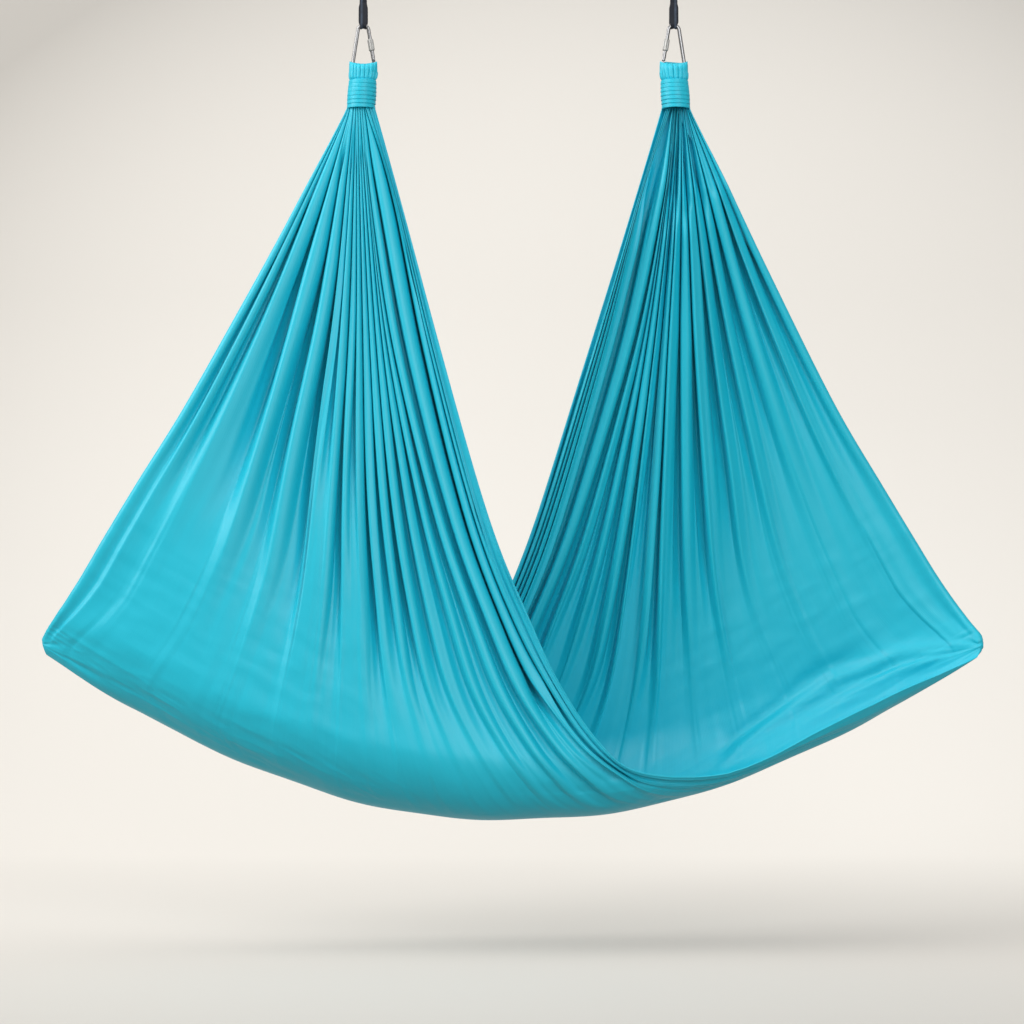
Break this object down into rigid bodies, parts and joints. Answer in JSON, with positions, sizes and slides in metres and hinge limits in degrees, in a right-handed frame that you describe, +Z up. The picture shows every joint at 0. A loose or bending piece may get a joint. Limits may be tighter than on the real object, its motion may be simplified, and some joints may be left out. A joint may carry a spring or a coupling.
{
  "type": "aerial yoga hammock",
  "caption": "Wide teal cloth gathered at both ends and hung as a deep seat pocket from sewn webbing straps by screw-lock steel carabiners.",
  "frame": {"origin": "where the left strap's top eye bears on its hook", "axes": "+Z up, +X from the left hanging point to the right one, -Y towards the viewer"},
  "size_m": [2.0759, 0.3178, 1.883],
  "materials": {
    "cloth": "soft matte knit with a slight sheen",
    "webbing": "dense woven webbing",
    "polished_steel": "polished",
    "sleeve_steel": "satin, fluted",
    "spring_steel": "drawn wire"
  },
  "bodies": {
    "straps": {"left_strap": "webbing", "right_strap": "webbing"},
    "hammock": {"hammock_cloth": "cloth", "left_end_loop": "cloth", "left_neck_wrap": "cloth", "left_carabiner_frame": "polished_steel", "left_hinge_rivet": "polished_steel", "right_end_loop": "cloth", "right_neck_wrap": "cloth", "right_carabiner_frame": "polished_steel", "right_hinge_rivet": "polished_steel"},
    "left_gate": {"left_gate": "polished_steel", "left_latch_pin": "polished_steel", "left_gate_spring": "spring_steel", "left_spring_plunger": "polished_steel"},
    "right_gate": {"right_gate": "polished_steel", "right_latch_pin": "polished_steel", "right_gate_spring": "spring_steel", "right_spring_plunger": "polished_steel"},
    "left_sleeve": {"left_lock_sleeve": "sleeve_steel"},
    "right_sleeve": {"right_lock_sleeve": "sleeve_steel"}
  },
  "joints": [
    {"name": "hammock_swing", "type": "hinge", "parent": "straps", "child": "hammock", "pos_m": [0, 0, -0.128], "axis": [1, 0, 0], "range_deg": [-30, 30]},
    {"name": "left_gate_hinge", "type": "hinge", "parent": "hammock", "child": "left_gate", "pos_m": [0.02244, 0, -0.20381], "axis": [0, -1, 0], "range_deg": [0, 17], "stiffness_Nm_per_rad": 0.25, "springref_deg": -22.92},
    {"name": "right_gate_hinge", "type": "hinge", "parent": "hammock", "child": "right_gate", "pos_m": [0.66056, 0, -0.20381], "axis": [0, 1, 0], "range_deg": [0, 17], "stiffness_Nm_per_rad": 0.25, "springref_deg": -22.92},
    {"name": "left_sleeve_travel", "type": "slide", "parent": "left_gate", "child": "left_sleeve", "axis": [0.1616, 0, -0.9869], "range_m": [-0.0182, 0.008]},
    {"name": "right_sleeve_travel", "type": "slide", "parent": "right_gate", "child": "right_sleeve", "axis": [-0.1616, 0, -0.9869], "range_m": [-0.0182, 0.008]}
  ]
}
